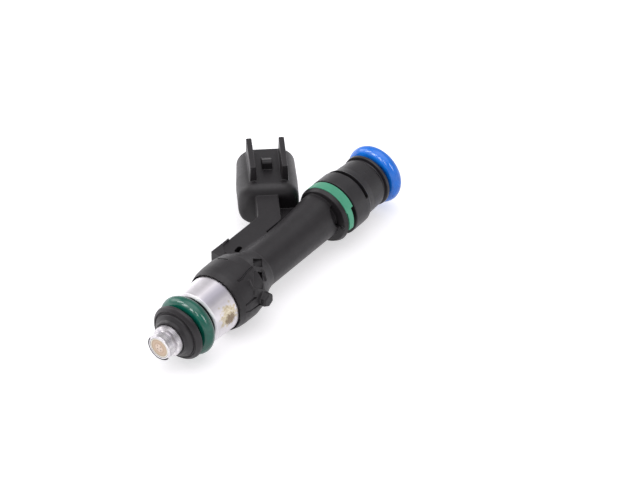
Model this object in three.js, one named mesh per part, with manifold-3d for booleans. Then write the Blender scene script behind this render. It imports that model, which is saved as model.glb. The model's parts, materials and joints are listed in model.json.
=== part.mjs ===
// Fuel injector, modelled as its separate pieces.
// Millimetres. +X runs along the injector axis from the nozzle tip to the fuel inlet,
// +Y points to the side that carries the electrical plug, +Z is up.
// The origin is the centre of the nozzle tip's front face.
import * as THREE from 'three';
import { mergeVertices } from 'three/addons/utils/BufferGeometryUtils.js';
import Module from 'manifold-3d';

const wasm = await Module();
wasm.setup();

// ---------------------------------------------------------------- driving dimensions
// _R is a radius; _START and _END are places along X, the start nearer the nozzle tip.
const OUTER_SEGMENTS = 32;   // round the outside pieces
const INNER_SEGMENTS = 24;   // round the inside pieces
const SMALL_SEGMENTS = 16;   // round the adjusting sleeve and the filter
const GAP = 0.06;            // general clearance between neighbouring pieces

const O_RING_OUTER_R = 14.6 / 2;
const O_RING_WIRE_R = 3.53 / 2;
const LOWER_O_RING_X = 9.79;
const UPPER_O_RING_X = 78.94;

const TIP_R = 3.0;
const TIP_BORE_R = 2.5;
const TIP_INSERT_R = TIP_BORE_R - GAP; // orifice plate, seat and guide ring
const CARRIER_R = 3.65;      // sleeve where the collar and the lower O-ring sit
const SLEEVE_R = 4.0;        // sleeve inside the coil
const SLEEVE_BORE_R = 3.5;
const SLEEVE_END = 33.0;

const BALL_R = 1.5;
const BALL_X = 2.963;
const NEEDLE_R = 1.2;
const NEEDLE_BORE_R = 0.7;
const NEEDLE_END = 17.6;
const ARMATURE_START = 14.0;
const ARMATURE_END = 19.0;
const LIFT_GAP = 0.12;       // armature face to pole face at rest
const POLE_START = ARMATURE_END + LIFT_GAP;

const POT_R = 6.8;
const POT_START = 11.7;
const POT_END = 28.2;

const MOULD_START = 19.4;    // front edge of the moulding on the pot
const MOULD_R = 7.78;
const TUBE_R = 4.97;         // long moulded tube
const FLANGE_X = 58.65;
const BAND_START = 59.75;
const BAND_END = 62.5;
const BAND_R = 7.03;
const ADAPTER_START = 62.65;
const ADAPTER_R = 7.0;
const NECK_END = 74.85;
const NECK_R = 6.1;
const INLET_X = 81.35;
const INLET_BORE_R = 3.0;
const FUEL_TUBE_R = 3.6;

const ARM_HALF_HEIGHT = 3.2; // ridge and arm, either side of Z = 0
const RIDGE_Y = 9.2;
const PLUG_ANGLE = 42 * Math.PI / 180;
const PLUG_X = 53.6;         // where the arm's centre line meets the plug shell
const PLUG_Y = 12.2;
const SHELL_CENTRE = -0.6;   // plug centre line, sideways from the arm's
const SHELL_WIDTH = 14.1;
const SHELL_HEIGHT = 10.0;
const SHELL_LENGTH = 16.0;
const SHELL_CORNER_R = 4.6;
const SHELL_WALL = 1.25;
const SHELL_EDGE = 0.6;      // bevel round the shell's closed end
const SHELL_TOP_EDGE_R = 3.0;
const SOCKET_FLOOR = 5.4;    // distance along the plug

// Contact blades: flat strips beside the tube, bent over into the plug socket.
const BLADE_START = 31.2;
const BLADE_HALF_WIDTH = 0.52;
const BLADE_HALF_THICKNESS = 0.32;
const BLADE_CLEARANCE = 0.1;
const OUTER_BLADE = { y: 7.55, bendX: 46.9, elbow: [1.0, 1.15], offset: 2.2 };
const INNER_BLADE = { y: 5.75, bendX: 47.6, elbow: [0.6, -1.25], offset: -2.2 };

// ---------------------------------------------------------------- frames
function frame(xDirection, yDirection, zDirection, origin = new THREE.Vector3()) {
  return new THREE.Matrix4().makeBasis(xDirection, yDirection, zDirection).setPosition(origin);
}
const X_AXIS = new THREE.Vector3(1, 0, 0);
const Y_AXIS = new THREE.Vector3(0, 1, 0);
const UP = new THREE.Vector3(0, 0, 1);
const ALONG = new THREE.Vector3(Math.cos(PLUG_ANGLE), Math.sin(PLUG_ANGLE), 0);
const ACROSS = new THREE.Vector3(-ALONG.y, ALONG.x, 0);
const PLUG_ORIGIN = new THREE.Vector3(PLUG_X, PLUG_Y, 0);

const MODEL_FRAME = new THREE.Matrix4();
const AXIAL_FRAME = frame(Y_AXIS, UP, X_AXIS); // outline in YZ, depth along X
const PLUG_FRAME = frame(ACROSS, UP, ALONG, PLUG_ORIGIN);
const PLUG_SIDE_FRAME = frame(ALONG, UP, ACROSS.clone().negate(), PLUG_ORIGIN);

// XY point at the given distances along and across the plug
const plugPoint = (along, across) => [
  PLUG_X + along * ALONG.x + across * ACROSS.x,
  PLUG_Y + along * ALONG.y + across * ACROSS.y,
];

// ---------------------------------------------------------------- mesh conversion
function toManifold(geometry) {
  const bare = geometry.index ? geometry.toNonIndexed() : geometry;
  bare.deleteAttribute('normal');
  bare.deleteAttribute('uv');
  const merged = mergeVertices(bare, 1e-4);
  const index = merged.index.array;
  const positions = merged.attributes.position.array;
  const corner = (vertex) => new THREE.Vector3().fromArray(positions, vertex * 3);

  // drop triangles that merging collapsed, and find which way the rest face
  const triangles = [];
  let volume = 0;
  for (let i = 0; i < index.length; i += 3) {
    const [first, second, third] = index.slice(i, i + 3);
    if (first === second || second === third || third === first) continue;
    triangles.push(first, second, third);
    volume += corner(first).dot(corner(second).cross(corner(third)));
  }
  if (volume < 0) {
    for (let i = 0; i < triangles.length; i += 3) {
      [triangles[i + 1], triangles[i + 2]] = [triangles[i + 2], triangles[i + 1]];
    }
  }
  return new wasm.Manifold(new wasm.Mesh({
    numProp: 3,
    vertProperties: Float32Array.from(positions),
    triVerts: Uint32Array.from(triangles),
  }));
}

function toGeometry(solid) {
  const mesh = solid.getMesh();
  const geometry = new THREE.BufferGeometry();
  const positions = Float32Array.from(mesh.vertProperties);
  geometry.setAttribute('position', new THREE.BufferAttribute(positions, 3));
  geometry.setIndex(new THREE.BufferAttribute(Uint32Array.from(mesh.triVerts), 1));
  geometry.computeVertexNormals();
  return geometry;
}

// ---------------------------------------------------------------- turned solids
// closed ring or solid from an (x, radius) outline, turned about the X axis
function turned(outline, segments = OUTER_SEGMENTS) {
  const points = outline.map(([x, radius]) => new THREE.Vector2(radius, x));
  const endsOnAxis = outline[0][1] === 0 && outline.at(-1)[1] === 0;
  if (!endsOnAxis) points.push(points[0].clone());
  return toManifold(new THREE.LatheGeometry(points, segments).rotateZ(-Math.PI / 2));
}

function ring({ start, end, inner, outer, segments }) {
  return turned([[start, inner], [start, outer], [end, outer], [end, inner]], segments);
}

function disc(start, end, radius, segments) {
  return turned([[start, 0], [start, radius], [end, radius], [end, 0]], segments);
}

function torus({ x, centreR, wireR, wireSegments = 10, segments }) {
  const outline = [];
  for (let i = 0; i < wireSegments; i++) {
    const angle = 2 * Math.PI * i / wireSegments;
    outline.push([x + wireR * Math.cos(angle), centreR + wireR * Math.sin(angle)]);
  }
  return turned(outline, segments);
}

const oRing = (x) => torus({ x, centreR: O_RING_OUTER_R - O_RING_WIRE_R, wireR: O_RING_WIRE_R });

// ---------------------------------------------------------------- flat-sided solids
const outlineShape = (points) => new THREE.Shape(points.map(([x, y]) => new THREE.Vector2(x, y)));

function extruded(shape, start, depth, placement = MODEL_FRAME, options = {}) {
  const geometry = new THREE.ExtrudeGeometry(shape, { depth, bevelEnabled: false, ...options });
  return toManifold(geometry.translate(0, 0, start).applyMatrix4(placement));
}

// XY outline raised from z0 to z1
const slab = (points, z0, z1) => extruded(outlineShape(points), z0, z1 - z0);

// (along, up) outline, given a width across the plug
function plugProfile(points, centre, width) {
  return extruded(outlineShape(points), -(centre + width / 2), width, PLUG_SIDE_FRAME);
}

function block([x0, x1], [y0, y1], [z0, z1], placement = MODEL_FRAME) {
  const geometry = new THREE.BoxGeometry(x1 - x0, y1 - y0, z1 - z0);
  geometry.translate((x0 + x1) / 2, (y0 + y1) / 2, (z0 + z1) / 2);
  return toManifold(geometry.applyMatrix4(placement));
}
const plugBlock = (along, across, up) => block(across, up, along, PLUG_FRAME);

function roundedRectangle(centreX, width, height, radius) {
  const left = centreX - width / 2;
  const right = centreX + width / 2;
  const top = height / 2;
  const shape = new THREE.Shape();
  shape.moveTo(left + radius, -top);
  shape.lineTo(right - radius, -top);
  shape.absarc(right - radius, -top + radius, radius, -Math.PI / 2, 0, false);
  shape.lineTo(right, top - radius);
  shape.absarc(right - radius, top - radius, radius, 0, Math.PI / 2, false);
  shape.lineTo(left + radius, top);
  shape.absarc(left + radius, top - radius, radius, Math.PI / 2, Math.PI, false);
  shape.lineTo(left, -top + radius);
  shape.absarc(left + radius, -top + radius, radius, Math.PI, 1.5 * Math.PI, false);
  return shape;
}

// outline of a strip along an XY path, mitred at the bends
function strip(path, halfWidth) {
  const last = path.length - 1;
  const normal = (i) => {
    const dx = path[i + 1][0] - path[i][0];
    const dy = path[i + 1][1] - path[i][1];
    const length = Math.hypot(dx, dy);
    return [-dy / length, dx / length];
  };
  const left = [];
  const right = [];
  path.forEach(([x, y], i) => {
    const before = normal(Math.max(i - 1, 0));
    const after = normal(Math.min(i, last - 1));
    const reach = halfWidth / (1 + before[0] * after[0] + before[1] * after[1]);
    const offsetX = (before[0] + after[0]) * reach;
    const offsetY = (before[1] + after[1]) * reach;
    left.push([x + offsetX, y + offsetY]);
    right.push([x - offsetX, y - offsetY]);
  });
  return left.concat(right.reverse());
}

// wedge about the X axis between two angles (degrees, 0 at +Y, 90 at +Z)
function wedge(start, end, fromAngle, toAngle) {
  const radius = 12; // clears every piece it cuts
  const steps = Math.ceil((toAngle - fromAngle) / 30);
  const points = [[0, 0]];
  for (let i = 0; i <= steps; i++) {
    const angle = (fromAngle + (toAngle - fromAngle) * i / steps) * Math.PI / 180;
    points.push([radius * Math.cos(angle), radius * Math.sin(angle)]);
  }
  return extruded(outlineShape(points), start, end - start, AXIAL_FRAME);
}

// solid less a circle of holes parallel to X
function drilled(solid, { count, firstAngle, circleR, holeR, x, length, segments }) {
  for (let i = 0; i < count; i++) {
    const angle = firstAngle + i * 2 * Math.PI / count;
    const hole = new THREE.CylinderGeometry(holeR, holeR, length, segments);
    hole.rotateZ(-Math.PI / 2);
    hole.translate(x, circleR * Math.cos(angle), circleR * Math.sin(angle));
    solid = solid.subtract(toManifold(hole));
  }
  return solid;
}

// ---------------------------------------------------------------- nozzle and valve
// one thin drawn tube, stepped at the tip and inside the coil
const valveSleeve = () => turned([
  [0, TIP_BORE_R], [0, 2.88], [0.12, TIP_R], [2.15, TIP_R], [2.25, 2.88], [2.5, 2.88],
  [2.65, CARRIER_R], [12.2, CARRIER_R], [13.0, SLEEVE_R], [SLEEVE_END, SLEEVE_R],
  [SLEEVE_END, SLEEVE_BORE_R], [13.4, SLEEVE_BORE_R], [12.6, TIP_BORE_R],
]);

// plate with four spray holes
const orificePlate = () => drilled(disc(0, 0.3, TIP_INSERT_R), {
  count: 4, firstAngle: Math.PI / 4, circleR: 0.62, holeR: 0.13, x: 0.2, length: 2, segments: 8,
});

// outlet bore, cone, then the bore the ball runs in
const valveSeat = () => turned([
  [0.42, 1.0], [0.42, TIP_INSERT_R], [4.6, TIP_INSERT_R], [4.6, 1.75],
  [2.6, 1.75], [1.2, 0.45], [0.8, 0.45], [0.7, 1.0],
]);

// ring with three fuel passages
function guideRing() {
  const body = ring({
    start: 4.7, end: 5.7, inner: 1.27, outer: TIP_INSERT_R, segments: INNER_SEGMENTS,
  });
  return drilled(body, {
    count: 3, firstAngle: Math.PI / 6, circleR: 1.86, holeR: 0.3, x: 5.2, length: 3, segments: 10,
  });
}

const valveBall = () => toManifold(new THREE.SphereGeometry(BALL_R, 16, 10).translate(BALL_X, 0, 0));

// tube with a cross hole along Z
function needleTube() {
  const tube = turned([
    [3.92, NEEDLE_R], [4.36, NEEDLE_BORE_R], [NEEDLE_END, NEEDLE_BORE_R], [NEEDLE_END, NEEDLE_R],
  ], INNER_SEGMENTS);
  const hole = new THREE.CylinderGeometry(0.35, 0.35, 4, 12);
  return tube.subtract(toManifold(hole.rotateX(Math.PI / 2).translate(11.0, 0, 0)));
}

const armature = () => turned([
  [ARMATURE_START, 1.26], [ARMATURE_START, 3.2], [ARMATURE_START + 0.3, 3.42],
  [ARMATURE_END - 0.15, 3.42], [ARMATURE_END, 3.25], [ARMATURE_END, 1.75],
  [17.75, 1.75], [17.65, 1.26],
], INNER_SEGMENTS);

const innerPole = () => turned([
  [POLE_START, 1.78], [POLE_START, 3.3], [POLE_START + 0.2, 3.43],
  [31.6, 3.43], [32.0, 3.2], [32.0, 1.78],
], INNER_SEGMENTS);

function closingSpring() {
  const start = 18.05;
  const end = 26.4;
  const coilR = 1.3;
  const wireR = 0.24;
  const wireSides = 5;
  const turns = 6;
  const stepsPerTurn = 9;
  class Helix extends THREE.Curve {
    getPoint(t, target = new THREE.Vector3()) {
      const angle = 2 * Math.PI * turns * t;
      const x = start + (end - start) * t;
      return target.set(x, coilR * Math.cos(angle), coilR * Math.sin(angle));
    }
  }
  const section = [];
  for (let i = 0; i < wireSides; i++) {
    const angle = 2 * Math.PI * i / wireSides;
    section.push([wireR * Math.cos(angle), wireR * Math.sin(angle)]);
  }
  const shape = outlineShape(section);
  shape.closePath();
  return toManifold(new THREE.ExtrudeGeometry(shape, {
    steps: turns * stepsPerTurn, bevelEnabled: false, extrudePath: new Helix(),
  }));
}

// sleeve that sets the spring, slit along its -Y side
function adjustingSleeve() {
  return ring({ start: 26.75, end: 31.2, inner: 0.9, outer: 1.7, segments: SMALL_SEGMENTS })
    .subtract(block([26, 32], [-3, 0], [-0.2, 0.2]));
}

// ---------------------------------------------------------------- magnet
const magnetPot = () => turned([
  [POT_START, 3.72], [POT_START, 5.5], [12.5, 6.6], [15.2, 6.62], [15.6, POT_R],
  [POT_END, POT_R], [POT_END, 6.1], [17.6, 6.1], [17.6, 4.07], [12.9, 4.07], [12.1, 3.72],
]);

const coilBobbin = () => turned([
  [17.9, 4.1], [17.9, 6.0], [18.7, 6.0], [18.7, 4.7],
  [25.9, 4.7], [25.9, 6.0], [26.7, 6.0], [26.7, 4.1],
], INNER_SEGMENTS);

const coilWinding = () => ring({
  start: 18.8, end: 25.8, inner: 4.78, outer: 5.86, segments: INNER_SEGMENTS,
});

// washer with a gap on its +Y side
function fluxWasher() {
  return ring({ start: 26.85, end: 28.1, inner: 4.1, outer: 6.03, segments: INNER_SEGMENTS })
    .subtract(block([26, 29], [3, 8], [-1.3, 1.3]));
}

// ---------------------------------------------------------------- contact blades
function bladeOutline({ y, bendX, elbow, offset }, start, halfWidth) {
  const across = SHELL_CENTRE + offset;
  return strip([
    [start, y], [bendX, y], plugPoint(...elbow), plugPoint(5.0, across), plugPoint(11.5, across),
  ], halfWidth);
}

function terminal(blade) {
  const outline = bladeOutline(blade, BLADE_START, BLADE_HALF_WIDTH);
  return slab(outline, -BLADE_HALF_THICKNESS, BLADE_HALF_THICKNESS);
}

function bladeChannel(blade) {
  const halfHeight = BLADE_HALF_THICKNESS + BLADE_CLEARANCE;
  const outline = bladeOutline(blade, BLADE_START - 0.2, BLADE_HALF_WIDTH + BLADE_CLEARANCE);
  return slab(outline, -halfHeight, halfHeight);
}

// ---------------------------------------------------------------- moulding
const mouldedTube = () => turned([
  [MOULD_START, 0], [MOULD_START, 7.2], [MOULD_START + 1.4, MOULD_R], [26.4, MOULD_R],
  [28.4, 7.4], [33.4, TUBE_R + 0.1], [50.0, TUBE_R + 0.05], [FLANGE_X, 5.4], [FLANGE_X, 6.53],
  [BAND_START - 0.08, 7.07], [BAND_START - 0.08, 5.65], [BAND_END, 5.65], [BAND_END, 0],
]);

const ridgeAndArm = () => slab([
  [30.2, 0], [43.2, 0], [43.2, 4.27], plugPoint(-8.8, -2.69), plugPoint(3.5, -2.69),
  plugPoint(3.5, 2.57), plugPoint(-7.34, 2.57), [32, RIDGE_Y], [30.2, 9.35],
], -ARM_HALF_HEIGHT, ARM_HALF_HEIGHT);

// web between arm, plug shell and tube
const gusset = () => slab([
  [44, 2.5], [58.2, 2.5], [58.2, 6.2],
  plugPoint(1.2, -5.6), plugPoint(3.0, -2.0), plugPoint(-2, -2.0),
], -1.9, -0.3);

// cutter for the broad radius along the top of the shell's closed end
function topEdgeCutter() {
  const radius = SHELL_TOP_EDGE_R;
  const centreUp = SHELL_HEIGHT / 2 - radius;
  const steps = 5;
  const points = [[-1, 6], [-1, centreUp]];
  for (let i = 0; i <= steps; i++) {
    const angle = i * Math.PI / 2 / steps;
    points.push([radius - radius * Math.cos(angle), centreUp + radius * Math.sin(angle)]);
  }
  points.push([radius, 6]);
  return plugProfile(points, 0, 20);
}

// made 1 mm too long so that the cut leaves a square open end
function plugShell() {
  const shape = roundedRectangle(SHELL_CENTRE, SHELL_WIDTH, SHELL_HEIGHT, SHELL_CORNER_R);
  return extruded(shape, SHELL_EDGE, SHELL_LENGTH + 1 - SHELL_EDGE, PLUG_FRAME, {
    bevelEnabled: true,
    bevelThickness: SHELL_EDGE,
    bevelSize: SHELL_EDGE,
    bevelOffset: -SHELL_EDGE,
    bevelSegments: 1,
    curveSegments: 5,
  })
    .subtract(plugBlock([SHELL_LENGTH, SHELL_LENGTH + 8], [-12, 12], [-8, 8]))
    .subtract(topEdgeCutter());
}

const guideRib = (across) => plugBlock([3.7, 15.1], [across - 0.75, across + 0.75], [3.9, 8.87]);

const latchNub = () => plugProfile([
  [7.8, 4.5], [12.2, 4.5], [12.2, 5.05], [8.9, 7.1], [8.0, 7.1], [7.8, 5],
], SHELL_CENTRE, 2.35);

// peg opposite the plug, narrow end towards -Y
function peg() {
  const geometry = new THREE.CylinderGeometry(1.65, 1.8, 3.0, 6);
  return toManifold(geometry.rotateX(Math.PI).translate(27.3, -7.7, 0));
}

const plugSocket = () => extruded(
  roundedRectangle(
    SHELL_CENTRE, SHELL_WIDTH - 2 * SHELL_WALL, SHELL_HEIGHT - 2 * SHELL_WALL,
    SHELL_CORNER_R - SHELL_WALL,
  ),
  SOCKET_FLOOR, 14, PLUG_FRAME, { curveSegments: 4 },
);

function overmouldBody() {
  return mouldedTube()
    .add(ridgeAndArm())
    .add(gusset())
    .add(plugShell())
    .add(guideRib(SHELL_CENTRE - 3.85))
    .add(guideRib(SHELL_CENTRE + 3.66))
    .add(latchNub())
    .add(peg())
    // bores for the pot, the sleeve and the fuel tube
    .subtract(disc(MOULD_START - 1, 28.4, POT_R + 0.1))
    .subtract(disc(28, 33.3, SLEEVE_R + GAP))
    .subtract(disc(33, 64, FUEL_TUBE_R + GAP))
    .subtract(plugSocket())
    .subtract(bladeChannel(OUTER_BLADE))
    .subtract(bladeChannel(INNER_BLADE));
}

const lowerCollar = () => turned([
  [3.95, 3.75], [3.95, 4.1], [4.9, 4.75], [5.7, 5.9],
  [6.35, 6.62], [7.2, 6.7], [7.6, 6.1], [7.6, 3.75],
]);

// ---------------------------------------------------------------- inlet end
// ring with a step in its inlet-side edge and a gap on its underside, cut by a block
function colorBand() {
  return ring({ start: BAND_START, end: BAND_END, inner: 5.75, outer: BAND_R })
    .subtract(wedge(BAND_END - 0.85, BAND_END + 1, 150, 262))
    .subtract(block([BAND_START - 1, BAND_END + 1], [-1.2, 1.2], [-9, -4]));
}

const fuelTube = () => ring({
  start: 33.4, end: 67.4, inner: 2.7, outer: FUEL_TUBE_R, segments: INNER_SEGMENTS,
});

// stepped body with an inside seal groove and an outside slot part of the way round
function inletAdapter() {
  const boreR = FUEL_TUBE_R + GAP;
  const body = turned([
    [ADAPTER_START, boreR], [ADAPTER_START, ADAPTER_R], [67.96, ADAPTER_R], [68.5, 6.5],
    [NECK_END, NECK_R], [NECK_END, 3.7], [80.75, 3.7], [80.75, 5.2], [81.15, 5.2],
    [INLET_X, 4.95], [INLET_X, INLET_BORE_R], [67.6, INLET_BORE_R], [67.6, boreR],
    [65.5, boreR], [65.5, 5.0], [63.4, 5.0], [63.4, boreR],
  ]);
  const slot = ring({ start: 67.08, end: 67.97, inner: 5.9, outer: 8 });
  return body.subtract(slot.intersect(wedge(66, 69, -25, 153)));
}

const adapterSeal = () => torus({
  x: 64.45, centreR: 4.33, wireR: 0.6, wireSegments: 8, segments: INNER_SEGMENTS,
});

const upperSupportRing = () => turned([
  [74.95, 3.9], [74.95, 6.35], [75.1, 6.5], [76.1, 6.5], [76.1, 3.9],
]);

// end disc and end ring joined by three bars
function filterFrame() {
  let frameSolid = disc(70.5, 71.2, 1.9, SMALL_SEGMENTS).add(ring({
    start: 78.2, end: 80.9, inner: 1.72, outer: 2.26, segments: SMALL_SEGMENTS,
  }));
  for (let i = 0; i < 3; i++) {
    const bar = new THREE.BoxGeometry(7.6, 0.38, 0.5).translate(74.9, 1.95, 0);
    frameSolid = frameSolid.add(toManifold(bar.rotateX(i * 2 * Math.PI / 3 + 0.3)));
  }
  return frameSolid;
}

const filterMesh = () => ring({
  start: 71.26, end: 78.12, inner: 1.45, outer: 1.62, segments: SMALL_SEGMENTS,
});

// ring that holds the filter in the bore
const filterCollar = () => ring({
  start: 78.4, end: 81.0, inner: 2.36, outer: 2.93, segments: SMALL_SEGMENTS,
});

// ---------------------------------------------------------------- assembly
// Columns: mesh name, solid, colour, roughness, metalness.
const NEEDLE_PIECES = [
  ['valve_ball', valveBall(), 0xd6d6da, 0.12, 1.0],
  ['needle_tube', needleTube(), 0xb9bac0, 0.3, 1.0],
  ['armature', armature(), 0x8f9096, 0.4, 1.0],
];
const FIXED_PIECES = [
  ['valve_sleeve', valveSleeve(), 0xc9c6c2, 0.25, 1.0],
  ['orifice_plate', orificePlate(), 0xcdb795, 0.4, 0.9],
  ['valve_seat', valveSeat(), 0xa9a9ad, 0.3, 1.0],
  ['guide_ring', guideRing(), 0x9c9da2, 0.35, 1.0],
  ['inner_pole', innerPole(), 0x86878c, 0.4, 1.0],
  ['closing_spring', closingSpring(), 0xb4b6ba, 0.3, 1.0],
  ['adjusting_sleeve', adjustingSleeve(), 0xa5a6aa, 0.35, 1.0],
  ['magnet_pot', magnetPot(), 0xd9d6dc, 0.2, 1.0],
  ['coil_bobbin', coilBobbin(), 0x2b3a2e, 0.6, 0.0],
  ['coil_winding', coilWinding(), 0xb5622c, 0.4, 0.8],
  ['flux_washer', fluxWasher(), 0x8b8c90, 0.4, 1.0],
  ['overmould_body', overmouldBody(), 0x2c2b2e, 0.5, 0.0],
  ['terminal_outer', terminal(OUTER_BLADE), 0xc9b98a, 0.3, 1.0],
  ['terminal_inner', terminal(INNER_BLADE), 0xc9b98a, 0.3, 1.0],
  ['lower_collar', lowerCollar(), 0x1f1e20, 0.45, 0.0],
  ['lower_o_ring', oRing(LOWER_O_RING_X), 0x0f5a4a, 0.3, 0.0],
  ['color_band', colorBand(), 0x6fc3a3, 0.45, 0.0],
  ['fuel_tube', fuelTube(), 0xb9bbc0, 0.3, 1.0],
  ['inlet_adapter', inletAdapter(), 0x343336, 0.5, 0.0],
  ['adapter_seal', adapterSeal(), 0x3a2520, 0.5, 0.0],
  ['upper_support_ring', upperSupportRing(), 0x4a4650, 0.5, 0.0],
  ['upper_o_ring', oRing(UPPER_O_RING_X), 0x1f6fd6, 0.25, 0.0],
  ['filter_frame', filterFrame(), 0xd8d2c0, 0.6, 0.0],
  ['filter_mesh', filterMesh(), 0x9a9a98, 0.7, 0.3],
  ['filter_collar', filterCollar(), 0xc09a4a, 0.35, 1.0],
];

function addPieces(parent, pieces) {
  for (const [name, solid, color, roughness, metalness] of pieces) {
    const material = new THREE.MeshStandardMaterial({ color, roughness, metalness });
    const mesh = new THREE.Mesh(toGeometry(solid), material);
    mesh.name = name;
    parent.add(mesh);
  }
}

const injector = new THREE.Group();
const needle = new THREE.Group(); // ball, tube and armature, all moving together
injector.add(needle);
addPieces(needle, NEEDLE_PIECES);
addPieces(injector, FIXED_PIECES);

export default injector;
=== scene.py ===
# Fuel injector. Its turned parts share the X axis: spray tip at x = 0, inlet end near x = 81 mm.
# The plug leans out from +X towards +Y, and +Z is up. Shapes are drawn in millimetres; the
# scene is in metres. Angles about the X axis run from +Y towards +Z.
import json
import math
import bpy
import bmesh
import numpy as np
from mathutils import Matrix, Vector


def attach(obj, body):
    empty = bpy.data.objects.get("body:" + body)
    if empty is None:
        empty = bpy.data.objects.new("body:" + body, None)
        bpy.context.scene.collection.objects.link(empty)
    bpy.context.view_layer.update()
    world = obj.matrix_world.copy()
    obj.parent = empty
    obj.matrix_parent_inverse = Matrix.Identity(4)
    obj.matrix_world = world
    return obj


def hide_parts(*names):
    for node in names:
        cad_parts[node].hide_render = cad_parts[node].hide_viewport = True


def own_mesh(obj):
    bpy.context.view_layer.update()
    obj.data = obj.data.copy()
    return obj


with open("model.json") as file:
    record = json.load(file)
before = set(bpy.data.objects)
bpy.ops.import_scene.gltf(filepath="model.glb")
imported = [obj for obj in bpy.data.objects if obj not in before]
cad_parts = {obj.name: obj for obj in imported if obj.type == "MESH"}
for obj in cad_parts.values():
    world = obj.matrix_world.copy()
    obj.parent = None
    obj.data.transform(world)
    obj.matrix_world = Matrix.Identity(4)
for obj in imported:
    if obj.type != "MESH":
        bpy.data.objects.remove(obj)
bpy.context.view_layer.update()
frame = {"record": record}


MM = 0.001
DEGREE = math.radians(1)
F32 = np.float32

RECORD = frame["record"]
BODY = {node: body for body, nodes in RECORD["behaviour"]["bodies"].items() for node in nodes}


# ---------------------------------------------------------------------------
# mesh helpers
# ---------------------------------------------------------------------------
def finish(ob, node, material):
    """Makes the piece stand for one CAD node, with that node's body and material slot."""
    ob.data.materials.clear()
    ob.data.materials.append(material)
    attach(ob, BODY[node])
    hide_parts(node)
    return ob


def link_object(name, mesh):
    ob = bpy.data.objects.new(name, mesh)
    bpy.context.scene.collection.objects.link(ob)
    return ob


def smooth_shade(mesh):
    mesh.polygons.foreach_set("use_smooth", [True] * len(mesh.polygons))


def mesh_object(name, verts, faces, check_volume=False):
    """Smooth mesh from vertices in mm, with its faces turned outwards."""
    mesh = bpy.data.meshes.new(name)
    scaled = np.asarray(verts, dtype=np.float64) * MM
    mesh.from_pydata([tuple(p) for p in scaled], [], faces)
    mesh.validate()
    mesh.update()
    smooth_shade(mesh)
    ob = link_object(name, mesh)
    bm = bmesh.new()
    bm.from_mesh(mesh)
    bmesh.ops.recalc_face_normals(bm, faces=bm.faces)
    if check_volume and bm.calc_volume(signed=True) < 0:
        bmesh.ops.reverse_faces(bm, faces=bm.faces)
    bm.to_mesh(mesh)
    bm.free()
    return ob


def quads_object(name, verts, quads, normals):
    """Fast path for big all-quad meshes, vertices in mm."""
    mesh = bpy.data.meshes.new(name)
    count = len(quads)
    mesh.vertices.add(len(verts))
    mesh.vertices.foreach_set("co", (np.asarray(verts, np.float32) * MM).ravel())
    mesh.loops.add(count * 4)
    mesh.loops.foreach_set("vertex_index", np.asarray(quads, np.int32).ravel())
    mesh.polygons.add(count)
    mesh.polygons.foreach_set("loop_start", np.arange(0, count * 4, 4, dtype=np.int32))
    mesh.polygons.foreach_set("loop_total", np.full(count, 4, np.int32))
    mesh.update(calc_edges=True)
    mesh.validate()
    smooth_shade(mesh)
    mesh.normals_split_custom_set_from_vertices([tuple(n) for n in normals])
    return link_object(name, mesh)


def fillet(outline, steps):
    """Closed outline of (x, r) or (x, r, fillet radius); corners with a radius become arcs."""
    points = [(p[0], p[1], p[2] if len(p) > 2 else 0.0) for p in outline]
    out = []
    for i, (x, y, radius) in enumerate(points):
        before, after = points[i - 1], points[(i + 1) % len(points)]
        if radius <= 0:
            out.append((x, y))
            continue
        back = Vector((before[0] - x, before[1] - y))
        ahead = Vector((after[0] - x, after[1] - y))
        room = min(back.length * 0.49, ahead.length * 0.49)
        back.normalize()
        ahead.normalize()
        opening = back.angle(ahead)
        if opening > math.pi - 0.02:  # nearly straight
            out.append((x, y))
            continue
        trim = min(radius / math.tan(opening / 2), room)
        fitted = trim * math.tan(opening / 2)
        corner = Vector((x, y))
        start = corner + back * trim
        end = corner + ahead * trim
        centre = corner + (back + ahead).normalized() * (fitted / math.sin(opening / 2))
        angle0 = math.atan2(start.y - centre.y, start.x - centre.x)
        angle1 = math.atan2(end.y - centre.y, end.x - centre.x)
        sweep = (angle1 - angle0 + math.pi) % (2 * math.pi) - math.pi
        for k in range(steps + 1):
            angle = angle0 + sweep * k / steps
            out.append((centre.x + fitted * math.cos(angle), centre.y + fitted * math.sin(angle)))
    return out


def gap(p, q):
    return math.hypot(p[0] - q[0], p[1] - q[1])


def revolve(name, outline, segments, corner_steps=1, weighted=True, wobble=None):
    """Closed outline (x, r) turned about the X axis; points on the axis are single vertices."""
    profile = []
    for p in fillet(outline, corner_steps):
        if not profile or gap(p, profile[-1]) > 1e-5:
            profile.append(p)
    if gap(profile[0], profile[-1]) < 1e-5:
        profile.pop()
    verts, rings = [], []
    for x, r in profile:
        if r < 1e-6:
            rings.append([len(verts)])
            verts.append((x, 0.0, 0.0))
            continue
        rings.append(list(range(len(verts), len(verts) + segments)))
        for k in range(segments):
            angle = 2 * math.pi * k / segments
            radius = wobble(x, r, angle) if wobble else r
            verts.append((x, radius * math.cos(angle), radius * math.sin(angle)))
    faces = []
    for i, ring in enumerate(rings):
        following = rings[(i + 1) % len(rings)]
        if len(ring) == 1 and len(following) == 1:
            continue
        for k in range(segments):
            k2 = (k + 1) % segments
            if len(ring) == 1:
                faces.append((ring[0], following[k2], following[k]))
            elif len(following) == 1:
                faces.append((ring[k], ring[k2], following[0]))
            else:
                faces.append((ring[k], ring[k2], following[k2], following[k]))
    ob = mesh_object(name, verts, faces, check_volume=True)
    if weighted:
        normals = ob.modifiers.new("weighted", "WEIGHTED_NORMAL")
        normals.weight = 80
        normals.keep_sharp = True
    return ob


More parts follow.
